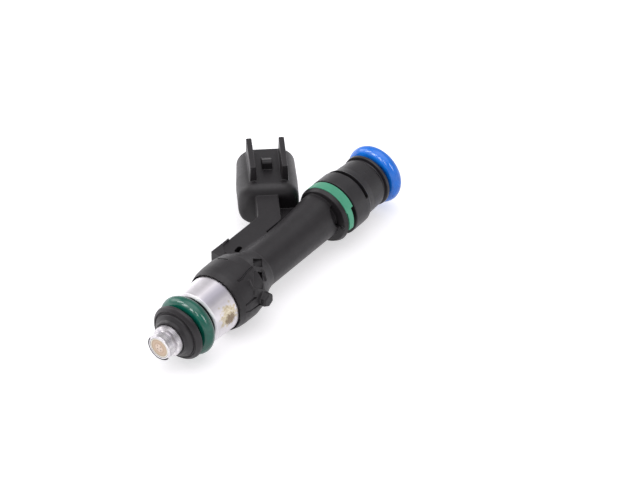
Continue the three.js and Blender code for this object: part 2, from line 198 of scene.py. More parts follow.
def cut(ob, cutter):
    """Takes the cutter out of the object, applies every modifier and removes the cutter."""
    boolean = ob.modifiers.new("cut", "BOOLEAN")
    boolean.operation = "DIFFERENCE"
    boolean.solver = "EXACT"
    boolean.object = cutter
    # the boolean goes before the weighted normals
    place = ob.modifiers.find("cut")
    if place > 0:
        ob.modifiers.move(place, 0)
    bpy.context.view_layer.update()
    graph = bpy.context.evaluated_depsgraph_get()
    mesh = bpy.data.meshes.new_from_object(
        ob.evaluated_get(graph), preserve_all_data_layers=True, depsgraph=graph)
    old = ob.data
    ob.modifiers.clear()
    ob.data = mesh
    bpy.data.meshes.remove(old)
    bpy.data.objects.remove(cutter)


def bar_cutter(name, start, end, segments, place):
    """Round bar between two (x, r) stations, moved by the matrix place."""
    outline = [(start[0], 0.0), start, end, (end[0], 0.0)]
    ob = revolve(name, outline, segments, weighted=False)
    ob.data.transform(place)
    return ob


def ring_of_bars(name, start, end, segments, count, pitch_radius, first_angle):
    for k in range(count):
        angle = first_angle + k * 2 * math.pi / count
        y = pitch_radius * MM * math.cos(angle)
        z = pitch_radius * MM * math.sin(angle)
        yield bar_cutter("%s%d" % (name, k), start, end, segments, Matrix.Translation((0, y, z)))


def box_cutter(name, size, centre):
    bm = bmesh.new()
    bmesh.ops.create_cube(bm, size=1.0)
    for v in bm.verts:
        v.co = Vector([v.co[k] * size[k] + centre[k] for k in range(3)]) * MM
    mesh = bpy.data.meshes.new(name)
    bm.to_mesh(mesh)
    bm.free()
    return link_object(name, mesh)


def turned(node, material, outline, segments=96, corner_steps=3, cutters=(), **options):
    """Turned piece for a CAD node, less the cutters."""
    ob = revolve("fine_" + node, outline, segments, corner_steps, **options)
    for cutter in cutters:
        cut(ob, cutter)
    return finish(ob, node, material)


# ---------------------------------------------------------------------------
# distance fields in mm, negative inside
# ---------------------------------------------------------------------------
def smin(a, b, blend):
    """Union with a soft joint."""
    h = np.maximum(blend - np.abs(a - b), 0) / blend
    return np.minimum(a, b) - h * h * blend * 0.25


def smax(a, b, blend):
    """Intersection with a soft joint."""
    return -smin(-a, -b, blend)


def round_and(u, v, edge):
    """Intersection of two half spaces with a true round edge."""
    u2, v2 = u + edge, v + edge
    outside = np.sqrt(np.maximum(u2, 0) ** 2 + np.maximum(v2, 0) ** 2)
    return np.minimum(np.maximum(u2, v2), 0) + outside - edge


def poly_sd(px, py, points):
    """Signed distance to a simple polygon."""
    nearest = sign = None
    for i, (x0, y0) in enumerate(points):
        x1, y1 = points[(i + 1) % len(points)]
        ex, ey = x1 - x0, y1 - y0
        wx, wy = px - x0, py - y0
        t = np.clip((wx * ex + wy * ey) / (ex * ex + ey * ey), 0, 1)
        dx, dy = wx - ex * t, wy - ey * t
        square = dx * dx + dy * dy
        nearest = square if nearest is None else np.minimum(nearest, square)
        above, below = py >= y0, py < y1
        left = ex * wy > ey * wx
        flip = (above & below & left) | (~above & ~below & ~left)
        sign = np.where(flip, -1.0, 1.0) if sign is None else np.where(flip, -sign, sign)
    return (np.sqrt(nearest) * sign).astype(F32)


def polyline_sd(x, y, points):
    """Distance to an open line."""
    nearest = None
    for (x0, y0), (x1, y1) in zip(points[:-1], points[1:]):
        ex, ey = x1 - x0, y1 - y0
        t = np.clip(((x - x0) * ex + (y - y0) * ey) / (ex * ex + ey * ey), 0, 1)
        square = (x - x0 - ex * t) ** 2 + (y - y0 - ey * t) ** 2
        nearest = square if nearest is None else np.minimum(nearest, square)
    return np.sqrt(nearest)


def box_sd(u, v, w, half, edge):
    qu, qv, qw = (np.abs(c) - h + edge for c, h in zip((u, v, w), half))
    out = np.sqrt(np.maximum(qu, 0) ** 2 + np.maximum(qv, 0) ** 2 + np.maximum(qw, 0) ** 2)
    return out + np.minimum(np.maximum(qu, np.maximum(qv, qw)), 0) - edge


def round_rect_sd(b, z, mid, half_width, half_height, corner):
    qb, qz = np.abs(b - mid) - (half_width - corner), np.abs(z) - (half_height - corner)
    outside = np.sqrt(np.maximum(qb, 0) ** 2 + np.maximum(qz, 0) ** 2)
    return outside + np.minimum(np.maximum(qb, qz), 0) - corner


def capsule(point, start, end, radius):
    x, y, z = point
    ax, ay, az = start
    ex, ey, ez = end[0] - ax, end[1] - ay, end[2] - az
    square = ex * ex + ey * ey + ez * ez + 1e-9
    t = np.clip(((x - ax) * ex + (y - ay) * ey + (z - az) * ez) / square, 0, 1)
    return np.sqrt((x - ax - ex * t) ** 2 + (y - ay - ey * t) ** 2 + (z - az - ez * t) ** 2) - radius


def build_up(f, point, capsules, blend):
    for start, end, radius in capsules:
        f = smin(f, capsule(point, start, end, radius), blend)
    return f


def carve(f, point, capsules, blend):
    for start, end, radius in capsules:
        f = smax(f, -capsule(point, start, end, radius), blend)
    return f


def from_table(value, table):
    """Straight-line reading of a table of (station, value)."""
    return np.interp(value, *zip(*table)).astype(F32)


def polar(x, radius, degrees):
    angle = math.radians(degrees)
    return (x, radius * math.cos(angle), radius * math.sin(angle))


def angle_from(phi, centre):
    """Degrees from centre, between -180 and 180."""
    return ((phi - centre + 180) % 360) - 180


def arc_from(phi, centre, radius):
    return np.radians(angle_from(phi, centre)) * radius


def around_axis(y, z):
    """Radius and angle in degrees about the X axis."""
    return np.sqrt(y * y + z * z), np.degrees(np.arctan2(z, y))


def gradient(field, points, reach):
    slope = np.empty_like(points)
    for k in range(3):
        shift = np.zeros(3)
        shift[k] = reach
        slope[:, k] = (field(*(points + shift).T) - field(*(points - shift).T)) / (2 * reach)
    return slope


def project(field, points, step, times):
    """Moves the points onto the field's surface, half a step at most each time."""
    for _ in range(times):
        value = np.asarray(field(*points.T), float)
        slope = gradient(field, points, 0.3 * step)
        steepness = np.maximum((slope ** 2).sum(1), 0.05)
        move = -(value / steepness)[:, None] * slope
        length = np.linalg.norm(move, axis=1)
        move *= np.minimum(1, 0.5 * step / np.maximum(length, 1e-9))[:, None]
        points = points + move
    return points


CORNERS = [(i, j, k) for i in (0, 1) for j in (0, 1) for k in (0, 1)]
SLAB = 48          # grid layers along X worked out together
FINAL_MOVES = 3


def first_vertices(values, cells):
    """Mean of the surface crossings on each cell's edges, in grid steps."""
    at = {c: values[tuple((cells + c).T)].astype(float) for c in CORNERS}
    total = np.zeros((len(cells), 3))
    number = np.zeros(len(cells))
    for p in CORNERS:
        for axis in range(3):
            if p[axis] == 1:
                continue
            q = list(p)
            q[axis] = 1
            a, b = at[p], at[tuple(q)]
            crossed = (a < 0) != (b < 0)
            crossing = np.tile(np.array(p, float), (len(cells), 1))
            crossing[:, axis] = np.where(crossed, a / np.where(crossed, a - b, 1), 0)
            total[crossed] += crossing[crossed]
            number[crossed] += 1
    return cells + total / number[:, None]


def crossing_quads(inside, ids):
    """One quad for each grid edge that crosses the surface."""
    quads = []
    count = inside.shape
    for axis in range(3):
        low = [slice(1, n - 1) for n in count]
        low[axis] = slice(0, count[axis] - 1)
        high = list(low)
        high[axis] = slice(1, count[axis])
        first, second = inside[tuple(low)], inside[tuple(high)]
        edges = np.argwhere(first != second)
        if not len(edges):
            continue
        outward = first[tuple(edges.T)]
        offset = np.ones(3, int)
        offset[axis] = 0
        edges = edges + offset
        du, dv = np.zeros(3, int), np.zeros(3, int)
        du[(axis + 1) % 3] = 1
        dv[(axis + 2) % 3] = 1
        around = (edges - du - dv, edges - dv, edges, edges - du)
        quad = np.stack([ids[tuple(e.T)] for e in around], 1)
        quad[~outward] = quad[~outward][:, ::-1]
        quads.append(quad)
    return np.concatenate(quads)


def even_out(verts, quads):
    """Moves each vertex half way to the mean of its neighbours."""
    total = np.zeros_like(verts)
    number = np.zeros(len(verts))
    for k in range(4):
        a, b = quads[:, k], quads[:, (k + 1) % 4]
        for j in range(3):
            total[:, j] += (np.bincount(a, verts[b, j], len(verts))
                            + np.bincount(b, verts[a, j], len(verts)))
        number += np.bincount(a, minlength=len(verts)) + np.bincount(b, minlength=len(verts))
    return 0.5 * verts + 0.5 * total / np.maximum(number, 1)[:, None]


def modelled(node, material, field, low, high, steps, relax=0):
    """Surface-net mesh of field(x, y, z) = 0 in a box; steps are the (quick, full) grid steps, and
    only the full step is used.
    """
    step = steps[1]
    low, high = np.array(low, float), np.array(high, float)
    count = np.ceil((high - low) / step).astype(int) + 1
    xs, ys, zs = ((low[k] + step * np.arange(count[k])).astype(F32) for k in range(3))
    values = np.empty(tuple(count), F32)
    for i in range(0, count[0], SLAB):
        values[i:i + SLAB] = field(xs[i:i + SLAB, None, None], ys[None, :, None],
                                   zs[None, None, :])
    inside = values < 0
    nx, ny, nz = count - 1
    hits = np.zeros((nx, ny, nz), np.int8)
    for i, j, k in CORNERS:
        hits += inside[i:nx + i, j:ny + j, k:nz + k]
    active = (hits > 0) & (hits < 8)
    cells = np.argwhere(active)
    ids = np.full(active.shape, -1, np.int64)
    ids[tuple(cells.T)] = np.arange(len(cells))
    verts = low + step * first_vertices(values, cells)
    quads = crossing_quads(inside, ids)
    for _ in range(relax):
        verts = project(field, even_out(verts, quads), step, 1)
    verts = project(field, verts, step, FINAL_MOVES)
    slope = gradient(field, verts, 0.3 * step)
    normals = slope / np.maximum(np.linalg.norm(slope, axis=1), 1e-9)[:, None]
    return finish(quads_object("fine_" + node, verts, quads, normals), node, material)


# ---------------------------------------------------------------------------
# the moulding
# ---------------------------------------------------------------------------
PLUG_COS, PLUG_SIN = math.cos(math.radians(42)), math.sin(math.radians(42))
PLUG_X, PLUG_Y = 53.6, 12.2    # arm centre line where it meets the plug shell
PLUG_MID = -0.6                # plug centre line, sideways from the arm's
CONTACT_OFFSET = 2.2           # each contact from the plug centre line
TUBE_RADIUS = 4.98
ARM_HALF = 3.2                 # half thickness along Z


def plug_point(a, b):
    """(x, y) of a point a mm along the plug and b mm sideways."""
    return (PLUG_X + a * PLUG_COS - b * PLUG_SIN, PLUG_Y + a * PLUG_SIN + b * PLUG_COS)


def plug_axes(x, y):
    dx, dy = x - PLUG_X, y - PLUG_Y
    return dx * PLUG_COS + dy * PLUG_SIN, -dx * PLUG_SIN + dy * PLUG_COS


def near(x, low, high):
    """True where a slab of the grid can hold a feature."""
    return bool((np.max(x) > low) and (np.min(x) < high))


# (x, radius) of the moulding's turned outside
SKIN = [(19.4, 7.15), (20.05, 7.3), (21.0, 7.6), (22.5, 7.75), (26.0, 7.8), (28.4, 7.4),
        (33.5, 5.02), (58.6, TUBE_RADIUS)]


def on_skin(x, degrees, lift):
    return polar(x, float(np.interp(x, *zip(*SKIN))) + lift, degrees)


def path_on_skin(points, radius, lift, longest=1.2):
    """Chain of capsules that follows the skin through (x, angle) points."""
    chain = []
    for (x0, a0), (x1, a1) in zip(points[:-1], points[1:]):
        length = math.hypot(x1 - x0, math.radians(a1 - a0) * 7)
        n = max(1, int(math.ceil(length / longest)))
        for i in range(n):
            start, end = (on_skin(x0 + (x1 - x0) * t, a0 + (a1 - a0) * t, lift)
                          for t in (i / n, (i + 1) / n))
            chain.append((start, end, radius))
    return chain


# outlines of the turned parts: (x, radius, fillet)
FRONT = fillet([
    (19.4, 0), (19.4, 7.15, 0.12), (20.05, 7.34), (21.0, 7.6), (22.5, 7.75),
    (26.0, 7.8, 1.6), (28.4, 7.38, 1.2), (33.6, 4.95), (33.6, 0)], 3)
FLANGE = fillet([
    (58.65, 0), (58.65, 6.53, 0.12), (59.67, 7.07, 0.1), (59.67, 5.65), (62.5, 5.65, 0.1),
    (62.5, 0)], 2)
# flat parts seen along Z: (x, y, fillet)
ARM = fillet([
    (30.3, 0), (43.2, 0), (43.2, 4.27, 0.3), plug_point(-8.8, -2.69) + (1.2,),
    plug_point(3.5, -2.69), plug_point(3.5, 2.57), plug_point(-7.34, 2.57) + (1.5,),
    (32.2, 9.2, 0.5), (30.35, 9.38, 0.3)], 4)
RIDGE_BLOCK = [(30.2, 6.0), (31.55, 6.6), (33.1, 8.65), (35.5, 8.8), (35.75, 9.2),
               (33.0, 9.45), (30.2, 9.75)]
WEB = [(44, 2.5), (58.2, 2.5), (58.2, 6.2), plug_point(1.2, -5.6), plug_point(3.0, -2.0),
       plug_point(-2, -2.0)]
# latch seen from the plug's side: (along the plug, z)
LATCH = [(7.75, 4.2), (12.4, 4.2), (12.4, 4.95), (9.0, 7.1), (8.05, 7.1), (7.75, 6.8)]
# tube swelling: share by degrees from its middle, and height by x
SWELL_ROUND = [(0, 1.0), (14, 0.99), (24, 0.86), (33, 0.68), (45, 0.48), (60, 0.30),
               (76, 0.10), (84, 0.0)]
SWELL_ALONG = [(44, 0.0), (47, 0.05), (49, 0.17), (52, 0.42), (54.4, 0.62), (56.5, 0.92),
               (57.6, 1.0), (58.65, 1.03)]

# contact centre lines: straight run's y, x where it bends, (a, b) at the plug's root, side
CONTACTS = {
    "terminal_outer": (7.55, 46.9, (1.0, 1.15), CONTACT_OFFSET),
    "terminal_inner": (5.75, 47.6, (0.6, -1.25), -CONTACT_OFFSET)}


def contact_path(node, start_x, end_a):
    run_y, bend_x, root, side = CONTACTS[node]
    return [(start_x, run_y), (bend_x, run_y), plug_point(*root),
            plug_point(5.0, PLUG_MID + side), plug_point(end_a, PLUG_MID + side)]


CHANNEL_START = 31.0
CHANNELS = [contact_path(node, CHANNEL_START, 11.5) for node in CONTACTS]

# fine lines on the front moulding: (x, angle) points
GROOVES = (
    path_on_skin([(22.5, 123.7), (24.0, 124.0), (26.3, 120.4), (28.2, 119.9)], 0.22, -0.08)
    + path_on_skin([(24.9, 165.2), (23.8, 164.6), (21.4, 165.6)], 0.22, -0.08)
    + path_on_skin([(25.9, 184.5), (22.4, 182.4), (21.2, 179.2)], 0.19, -0.06)
    + path_on_skin([(25.6, 60.0), (25.7, 80.0)], 0.19, -0.06))
RAISED = (
    path_on_skin([(24.9, 134.5), (24.6, 141.0), (24.7, 147.5), (25.0, 152.5), (24.5, 158.0),
                  (24.8, 166.5)], 0.32, -0.02)
    + path_on_skin([(30.7, 137.0), (30.5, 142.0), (29.9, 155.0)], 0.34, 0.05))
# hollows in the cone: (x, arc)
PANEL = [(27.75, 0.1), (30.2, 1.7), (27.5, 4.7), (24.85, 2.8)]
NOTCH = [(31.3, -1.35), (33.3, -0.2), (31.6, 1.35), (29.2, 0.2)]
# long hole in the ridge's top: (x, y) of its ends; then dimples as (start, end, radius)
HOLE_ENDS = ((33.85, 5.15), (34.95, 5.33))
DIMPLES = [((31.65, 6.65, 3.3), (31.7, 6.65, 3.3), 0.28),
           ((33.3, 4.1, 3.35), (33.8, 4.6, 3.35), 0.22)]
# light marks on the tube: x range, capsule
TUBE_MARKS = [
    (34, 40, (on_skin(35.7, 118.5, 0.05), on_skin(37.9, 117.3, 0.05), 0.12)),
    (49, 55, (on_skin(50.9, 116, 0.12), on_skin(52.8, 119, 0.12), 0.11))]


def tube_and_front(x, r, phi):
    """Long tube, swelling towards the flange on its +Y +Z side, and the turned front."""
    swell = from_table(x, SWELL_ALONG) * from_table(np.abs(phi - 39.5), SWELL_ROUND)
    f = r - (TUBE_RADIUS + swell)
    f = np.maximum(f, np.maximum(28.0 - x, x - 59.2))
    if near(x, 18, 37):
        f = smin(f, poly_sd(x, r, FRONT), blend=0.9)
    return f


def add_arm(f, x, y, z):
    """Ridge and arm, with a prouder block at the ridge's low-x end and a thin web."""
    arm = round_and(poly_sd(x, y, ARM), np.abs(z) - ARM_HALF, edge=0.26)
    if near(x, 28, 36):
        # the block's top falls away towards the tip
        top = 0.12 * (34.5 - x) + 0.985 * z - 3.58
        block = round_and(poly_sd(x, y, RIDGE_BLOCK), np.maximum(top, -z - ARM_HALF), edge=0.16)
        arm = np.minimum(arm, block)
    f = smin(f, arm, blend=from_table(x, [(36.5, 0.75), (41.5, 0.18)]))
    if near(x, 43, 60):
        web = round_and(poly_sd(x, y, WEB), np.abs(z + 1.5) - 0.8, edge=0.12)
        f = smin(f, web, blend=0.12)
    return f


def add_plug(f, z, a, b):
    """Plug shell with draft, two ribs and a latch on its top."""
    draft = np.clip((a - 8) / 8, -1, 1)
    outer, root = np.maximum(draft, 0), np.maximum(-draft, 0)
    section = round_rect_sd(b, z, mid=-0.48 - 0.19 * outer,
                            half_width=7.2 - 0.35 * outer - 0.12 * root,
                            half_height=5.02 - 0.08 * outer, corner=4.3)
    # the root's edge is rounder towards the top
    q = np.clip((z + 3.6) / 6.2, 0, 1)
    shell = round_and(section, 0.15 - a, edge=0.45 + 2.35 * q * q * (3 - 2 * q))
    shell = round_and(shell, a - 16.0, edge=0.28)
    f = smin(f, shell, blend=0.12)
    # ribs run slightly askew: sideways place at either end
    for near_b, far_b in ((-4.5, -4.4), (2.9, 3.22)):
        half_width = 0.76 - 0.03 * (z - 5)
        middle = near_b + (far_b - near_b) * (a - 3.7) / 11.4
        ends_and_top = np.maximum(np.abs(a - 9.4) - 5.7, z - 8.87)
        rib = round_and(np.abs(b - middle) - half_width, ends_and_top, edge=0.16)
        f = smin(f, np.maximum(rib, 3.0 - z), blend=0.28)
    latch = round_and(poly_sd(a, z, LATCH), np.abs(b - PLUG_MID) - 1.18, edge=0.12)
    return smin(f, latch, blend=0.15)


def add_peg(f, x, y, z):
    """Six-sided peg pointing to -Y, corners up and down, its end chamfered."""
    end_y = -9.2
    size = 1.70 + 0.05 * (y - end_y) - 0.22 * np.clip((-8.85 - y) / 0.35, 0, 1)
    u, v = np.abs(x - 27.3), np.abs(z)
    hexagon = np.maximum(u - size * 0.866, u * 0.5 + v * 0.866 - size * 0.866)
    peg = round_and(hexagon, end_y - y, edge=0.12)
    return smin(f, np.maximum(peg, y + 5.0), blend=0.3)


def add_flange(f, x, y, z, r, phi):
    """Flange and band seat, with a pocket on the tip side and a small rib by it."""
    f = smin(f, poly_sd(x, r, FLANGE), blend=0.16)
    arc = arc_from(phi, 154, 5.0)
    pocket = np.sqrt((x - 60.1) ** 2 + arc * arc) - 3.3
    f = smax(f, -np.maximum(pocket, np.maximum(4.1 - r, x - 58.7)), blend=0.14)
    rib = (polar(58.9, 5.0, 184.0), polar(58.5, 6.3, 184.0), 0.26)
    return build_up(f, (x, y, z), [rib], blend=0.15)


def front_details(f, x, y, z, r, phi):
    point = (x, y, z)
    f = build_up(f, point, RAISED, blend=0.12)
    # sunken panel between the raised edges
    floor_radius = from_table(x, [(28.65, 7.27), (28.95, 5.7)])
    panel = poly_sd(x, arc_from(phi, 126, 7.4), PANEL)
    panel = np.maximum(panel, np.maximum(-(f + 0.95), floor_radius - r))
    f = smax(f, -panel, blend=0.10)
    # deep notch in the cone
    notch = poly_sd(x, arc_from(phi, 118, 6.2), NOTCH) - 0.1
    f = smax(f, -np.maximum(notch, 4.85 - r), blend=0.10)
    f = carve(f, point, GROOVES, blend=0.06)
    # the long hole: mouth, waist, then straight walls down to its floor
    start, end = HOLE_ENDS
    f = carve(f, point, [(start + (3.4,), end + (3.4,), 0.62)], blend=0.08)
    f = carve(f, point, [(start + (1.7,), end + (1.7,), 0.56)], blend=0.05)
    walls = capsule((x, y, z * 0), start + (0,), end + (0,), 0.58)
    f = smax(f, -np.maximum(walls, 1.6 - z), blend=0.05)
    return carve(f, point, DIMPLES, blend=0.05)


def cut_bores(f, x, y, z, r, a, b):
    """Stepped bore, plug socket and the channels the contacts run in."""
    pot_bore = np.maximum(r - 6.9 - 0.14 * np.clip((21.2 - x) / 1.2, 0, 1), x - 28.4)
    sleeve_bore = np.maximum(r - 4.06, x - 33.3)
    through_bore = r - 3.66
    f = np.maximum(f, -np.minimum(np.minimum(pot_bore, sleeve_bore), through_bore))
    if near(x, 50, 75):
        socket = round_rect_sd(b, z, PLUG_MID, half_width=5.8, half_height=3.75, corner=3.1)
        f = smax(f, -np.maximum(socket, 5.4 - a), blend=0.1)
    lines = np.minimum(*(polyline_sd(x, y, path) for path in CHANNELS))
    channels = np.maximum(lines - 0.62, np.maximum(np.abs(z) - 0.42, CHANNEL_START - x))
    return np.maximum(f, -channels)


def moulding(x, y, z):
    r, phi = around_axis(y, z)
    phi = phi.astype(F32)
    a, b = plug_axes(x, y)
    f = tube_and_front(x, r, phi)
    f = add_arm(f, x, y, z)
    if near(x, 42, 75):
        f = add_plug(f, z, a, b)
    if near(x, 24, 31):
        f = add_peg(f, x, y, z)
    if near(x, 56, 64):
        f = add_flange(f, x, y, z, r, phi)
    if near(x, 19, 36):
        f = front_details(f, x, y, z, r, phi)
    for low, high, mark in TUBE_MARKS:
        if near(x, low, high):
            f = carve(f, (x, y, z), [mark], blend=0.05)
    return cut_bores(f, x, y, z, r, a, b).astype(F32)


# ---------------------------------------------------------------------------
# shader helpers
# ---------------------------------------------------------------------------
IN_MM = (1000, 1000, 1000)
TURNING_MARKS = (9000, 250, 250)   # squeezed along X, so that marks run round the axis


class Shader:
    """Node tree with one shading node; an input takes a plain value or a node's output."""

    def __init__(self, owner, output="OutputMaterial", shading="BsdfPrincipled"):
        owner.use_nodes = True
        self.tree = owner.node_tree
        self.tree.nodes.clear()
        end = self.add(output)
        self.shading = self.add(shading)
        self.feed(end, {0: self.shading.outputs[0]})

    def feed(self, node, inputs):
        for key, value in inputs.items():
            if isinstance(value, bpy.types.NodeSocket):
                self.tree.links.new(value, node.inputs[key])
            else:
                node.inputs[key].default_value = value

    def add(self, kind, inputs=None, **settings):
        node = self.tree.nodes.new("ShaderNode" + kind)
        for name, value in settings.items():
            setattr(node, name, value)
        self.feed(node, inputs or {})
        return node

    def surface(self, inputs):
        self.feed(self.shading, inputs)

    def position(self, output="Object"):
        return self.add("TexCoord").outputs[output]

    def coords(self, scale=IN_MM):
        inputs = {"Scale": scale, "Vector": self.position()}
        return self.add("Mapping", inputs).outputs["Vector"]

    def split(self, vector):
        return list(self.add("SeparateXYZ", {0: vector}).outputs)

    def noise(self, vector, scale, detail=3.0, rough=0.55):
        inputs = {"Scale": scale, "Detail": detail, "Roughness": rough, "Vector": vector}
        return self.add("TexNoise", inputs).outputs["Fac"]

    def ramp(self, value, stops):
        """stops: (position, colour)."""
        node = self.add("ValToRGB", {"Fac": value})
        elements = node.color_ramp.elements
        for element, (place, colour) in zip(elements, (stops[0], stops[-1])):
            element.position = place
            element.color = tuple(colour) + (1,)
        for place, colour in stops[1:-1]:
            elements.new(place).color = tuple(colour) + (1,)
        return node.outputs["Color"]

    def math(self, operation, a, b=None):
        inputs = {0: a} if b is None else {0: a, 1: b}
        return self.add("Math", inputs, operation=operation).outputs[0]

    def times(self, a, b):
        return self.math("MULTIPLY", a, b)

    def vector(self, operation, a, b=None):
        inputs = {0: a} if b is None else {0: a, 1: b}
        node = self.add("VectorMath", inputs, operation=operation)
        scalar = operation in ("LENGTH", "DISTANCE", "DOT_PRODUCT")
        return node.outputs["Value" if scalar else "Vector"]

    def remap(self, value, source, to, **settings):
        inputs = {"Value": value, "From Min": source[0], "From Max": source[1],
                  "To Min": to[0], "To Max": to[1]}
        return self.add("MapRange", inputs, **settings).outputs["Result"]

    def mix(self, share, a, b):
        """Colours a and b; a plain colour has three values."""
        a, b = (c + (1,) if isinstance(c, tuple) else c for c in (a, b))
        return self.add("Mix", {0: share, 6: a, 7: b}, data_type="RGBA").outputs[2]

    def bump(self, height, strength, depth):
        inputs = {"Strength": strength, "Distance": depth * MM, "Height": height}
        return self.add("Bump", inputs).outputs["Normal"]

    def radius(self, y, z):
        return self.math("SQRT", self.math("ADD", self.times(y, y), self.times(z, z)))

    def across(self, y, z, y_share, z_share):
        return self.math("ADD", self.times(y, y_share), self.times(z, z_share))

    def wander(self, value, noise, amount):
        """Makes an edge ragged by adding noise about zero."""
        return self.math("ADD", value, self.times(self.math("SUBTRACT", noise, 0.5), amount))


def new_material(name):
    material = bpy.data.materials.new(name)
    return material, Shader(material)


# ---------------------------------------------------------------------------
# materials
# ---------------------------------------------------------------------------
def plastic(name, dark, light, rough, grain, specular=0.5, patches=0.35, grain_scale=7.0):
    material, s = new_material(name)
    v = s.coords()
    tone = s.noise(v, scale=patches, detail=4.0, rough=0.6)
    gloss = s.noise(v, scale=1.9)
    pits = s.noise(v, scale=grain_scale, detail=2.0)
    s.surface({
        "Base Color": s.ramp(tone, [(0.3, dark), (0.7, light)]),
        "Roughness": s.remap(gloss, source=(0.3, 0.7), to=(rough - 0.05, rough + 0.06)),
        "Normal": s.bump(pits, strength=grain, depth=0.02),
        "Specular IOR Level": specular,
        "Coat Roughness": 0.12})
    return material


def metal_finish(s, vector, rough, bump, scale=1.0, detail=3.0):
    marks = s.noise(vector, scale=scale, detail=detail)
    s.surface({"Roughness": s.remap(marks, source=(0.3, 0.7), to=rough),
               "Normal": s.bump(marks, strength=bump, depth=0.006)})


def painted_rim_shade(s, base):
    """Painted shade on the tip: a dark edge where x is under about 0.4 mm and the radius over 2.8
    mm, on one side.
    """
    x, y, z = s.split(s.position())
    r = s.radius(y, z)
    # bounds in metres
    at_end = s.remap(x, source=(0.00034, 0.00042), to=(1.0, 0.0))
    at_rim = s.remap(r, source=(0.00276, 0.00282), to=(0.0, 1.0))
    side = s.across(y, z, y_share=0.537, z_share=-0.843)
    on_side = s.remap(side, source=(-0.0004, 0.0003), to=(0.0, 1.0))
    shade_mask = s.times(s.times(at_end, at_rim), on_side)
    # painted shade: the base goes nearly black and loses its metal on the shaded side of the rim
    base = s.mix(s.times(shade_mask, 0.98), base, (0.008, 0.008, 0.010))
    unshaded = s.math("SUBTRACT", 1.0, shade_mask)
    s.surface({"Specular IOR Level": s.times(unshaded, 0.5), "Metallic": s.times(unshaded, 1.0)})
    return base


def metal(name, dark, light, rough, marks, variation=0.06, rim_shade=False):
    """Turned metal: faint marks run round the X axis."""
    material, s = new_material(name)
    v = s.coords()
    fine = s.coords(TURNING_MARKS)
    base = s.ramp(s.noise(v, scale=0.8), [(0.32, dark), (0.68, light)])
    s.surface({"Metallic": 1.0})
    # optional painted shade on one side of the tip's rim
    if rim_shade:
        base = painted_rim_shade(s, base)
    s.surface({"Base Color": base})
    metal_finish(s, fine, rough=(rough - variation, rough + variation), bump=marks)
    return material


def cosines(wide, narrow):
    return math.cos(math.radians(wide)), math.cos(math.radians(narrow))


def painted_reflection_tone(s, base):
    """Slow change of tone round the axis, all painted light: a lilac-grey streak near the top as a
    painted reflection, and a duller underside as painted shade.
    """
    _, y, z = s.split(s.position())
    r = s.math("ADD", s.radius(y, z), 1e-6)

    def lean(degrees):
        angle = math.radians(degrees)
        return s.math("DIVIDE", s.across(y, z, math.cos(angle), math.sin(angle)), r)

    # painted reflection: lilac-grey streak near the top
    reflection_streak = s.remap(lean(115), source=cosines(17, 4), to=(0.0, 0.85))
    # painted shade: duller underside
    underside_shade = s.remap(lean(200), source=cosines(55, 25), to=(0.0, 1.0))
    tone = s.mix(reflection_streak, base, (0.40, 0.385, 0.44))
    return s.mix(s.times(underside_shade, 0.25), tone, (0.52, 0.50, 0.52))


def gold_patches(s, v, position, base):
    """Faint gold patch low on the -Y side, with a smaller hatched patch in it."""
    angle = math.radians(166)
    centre = (0.01635, 0.0068 * math.cos(angle), 0.0068 * math.sin(angle))  # metres
    offset = s.vector("SUBTRACT", position, centre)
    # patch half sizes in mm
    gold_spot = s.vector("MULTIPLY", offset, (1000 / 2.5, 1000 / 2.9, 1000 / 2.5))
    edge = s.wander(s.vector("LENGTH", gold_spot), s.noise(v, scale=1.3, detail=4.0), amount=2.2)
    gold_mask = s.remap(edge, source=(0.75, 1.15), to=(1.0, 0.0))
    gold = s.ramp(s.noise(v, scale=2.2), [(0.35, (0.50, 0.38, 0.14)), (0.65, (0.86, 0.78, 0.56))])
    tinted = s.mix(s.times(gold_mask, 0.75), base, gold)
    hatch_spot = s.vector("MULTIPLY", offset, (1000 / 1.6, 1000 / 1.9, 1000 / 1.35))
    hatch_spot = s.vector("ADD", hatch_spot, (-0.15, 0.2, 0.75))
    edge = s.wander(s.vector("LENGTH", hatch_spot), s.noise(v, scale=2.4), amount=1.6)
    hatch_mask = s.remap(edge, source=(0.80, 1.05), to=(1.0, 0.0))
    wave = s.add("TexWave", {"Scale": 1.1, "Distortion": 1.5, "Vector": v},
                 wave_type="BANDS", bands_direction="X")
    lines = s.remap(wave.outputs["Fac"], source=(0.35, 0.6), to=(0.45, 1.0))
    return s.mix(s.times(hatch_mask, lines), tinted, (0.20, 0.13, 0.08))


def pot_material():
    material, s = new_material("pot_steel")
    v = s.coords()
    fine = s.coords(TURNING_MARKS)
    steel = s.ramp(s.noise(v, scale=0.5), [(0.3, (0.84, 0.81, 0.84)), (0.7, (0.93, 0.90, 0.93))])
    position = s.position()
    # painted reflection and painted shade round the axis over the steel's own tone, then the gold
    # patches
    colour = gold_patches(s, v, position, painted_reflection_tone(s, steel))
    x, y, z = s.split(position)
    # painted shadow line at the foot of the chamfer (bounds in metres)
    shadow_line = s.remap(x, source=(0.01206, 0.01214), to=(0.95, 0.0))
    colour = s.mix(shadow_line, colour, (0.02, 0.025, 0.025))
    # painted highlight: a glowing band on the chamfer, facing up
    band = s.times(s.remap(x, source=(0.01212, 0.01222), to=(0.0, 1.0)),
                   s.remap(x, source=(0.0125, 0.0127), to=(1.0, 0.0)))
    angle = math.radians(112)
    height = s.across(y, z, math.cos(angle), math.sin(angle))
    facing = s.remap(height, source=(0.0048, 0.0058), to=(0.0, 1.0))
    s.surface({
        "Base Color": colour,
        # painted highlight: the chamfer band glows
        "Emission Color": (0.98, 1.0, 1.0, 1),
        "Emission Strength": s.times(s.times(band, facing), 0.36),
        "Metallic": 1.0})
    metal_finish(s, fine, rough=(0.30, 0.40), bump=0.22)
    return material


